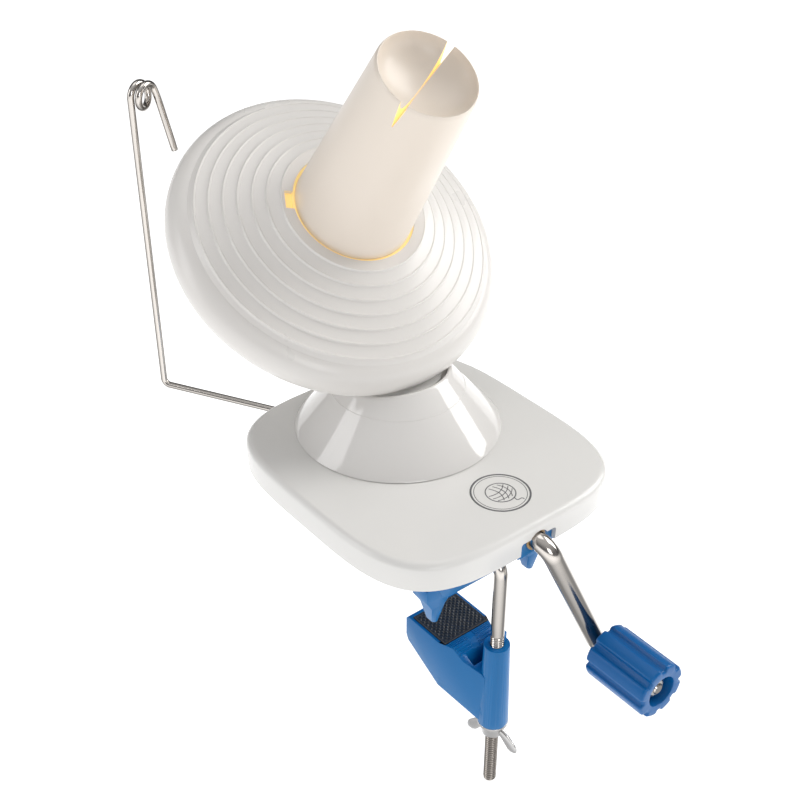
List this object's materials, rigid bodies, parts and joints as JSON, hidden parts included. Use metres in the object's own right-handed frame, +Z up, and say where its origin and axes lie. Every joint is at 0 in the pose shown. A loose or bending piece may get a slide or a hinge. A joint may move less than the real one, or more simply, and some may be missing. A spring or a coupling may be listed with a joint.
{
  "type": "ball winder",
  "caption": "Hand-cranked ball winder: a tilted winding tube and ringed disc on a cone rotor, geared to a crank, over a rounded base with a screw clamp and a wire yarn guide.",
  "frame": {"origin": "on the rotor's vertical axis, at the height of the two feet that stand on the table top", "axes": "+Z up along the rotor's post, -Y out along the crank shaft towards the user, +Y over the table, +X to the user's right"},
  "size_m": [0.1446, 0.2494, 0.334],
  "materials": {
    "white_cover": "glossy moulded ABS",
    "white_inner": "moulded nylon",
    "ivory_tube": "glossy moulded polypropylene",
    "blue_plastic": "satin moulded polypropylene",
    "acetal": "moulded acetal",
    "tan_bush": "moulded bearing plastic",
    "chrome": "bright nickel plate",
    "steel": "bright zinc plate",
    "spring_steel": "blackened spring steel",
    "rubber_pad": "ribbed black rubber"
  },
  "bodies": {
    "base": {"base_housing": "white_cover", "undercarriage": "blue_plastic", "base_screws": "steel", "center_post": "steel", "sun_gear": "acetal", "sun_screw": "steel", "crank_bush": "tan_bush", "crank_rear_bush": "tan_bush", "clamp_rod": "chrome", "rod_nut": "steel"},
    "rotor": {"rotor_cone": "white_cover", "rotor_neck": "white_inner", "rotor_pinion": "acetal", "rotor_bush": "tan_bush", "rotor_screws": "steel", "spindle_axle": "steel", "axle_nut": "steel", "spindle_clip": "spring_steel"},
    "spindle": {"winding_disc": "white_cover", "disc_gear": "acetal", "spindle_bush": "tan_bush", "winding_tube": "ivory_tube"},
    "crank": {"crank_rod": "chrome", "crank_gear": "acetal", "crank_clip": "spring_steel", "knob_clip": "steel"},
    "knob": {"handle_knob": "blue_plastic"},
    "guide": {"guide_leg": "chrome", "guide_wire": "chrome", "guide_eye": "chrome"},
    "jaw": {"lower_jaw": "blue_plastic", "grip_pad": "rubber_pad", "clamp_washer": "steel"},
    "nut": {"wing_nut": "steel"}
  },
  "joints": [
    {"name": "crank_turn", "type": "hinge", "parent": "base", "child": "crank", "pos_m": [0, -0.06, 0.048], "axis": [0, -1, 0], "continuous": true},
    {"name": "knob_spin", "type": "hinge", "parent": "crank", "child": "knob", "pos_m": [0.02476, -0.12251, -0.01034], "axis": [0, -1, 0], "continuous": true},
    {"name": "rotor_turn", "type": "hinge", "parent": "base", "child": "rotor", "pos_m": [0, 0, 0.057], "axis": [0, 0, 1], "continuous": true},
    {"name": "spindle_turn", "type": "hinge", "parent": "rotor", "child": "spindle", "pos_m": [0, 0, 0.19], "axis": [0, -0.5621, 0.8271], "continuous": true},
    {"name": "guide_swing", "type": "hinge", "parent": "base", "child": "guide", "pos_m": [-0.0137, 0.0308, 0.05], "axis": [0, 0, 1], "range_deg": [-15, 20]},
    {"name": "nut_turn", "type": "hinge", "parent": "jaw", "child": "nut", "pos_m": [0, -0.0685, -0.07], "axis": [0, 0, 1], "range_deg": [-6480, 7200]},
    {"name": "jaw_slide", "type": "slide", "parent": "base", "child": "jaw", "axis": [0, 0, 1], "range_m": [-0.018, 0.02]}
  ],
  "couplings": [
    {"joint": "rotor_turn", "follows": "crank_turn", "ratio": -2},
    {"joint": "spindle_turn", "follows": "crank_turn", "ratio": -0.5},
    {"joint": "jaw_slide", "follows": "nut_turn", "m_per_rad": 0.00015915}
  ]
}
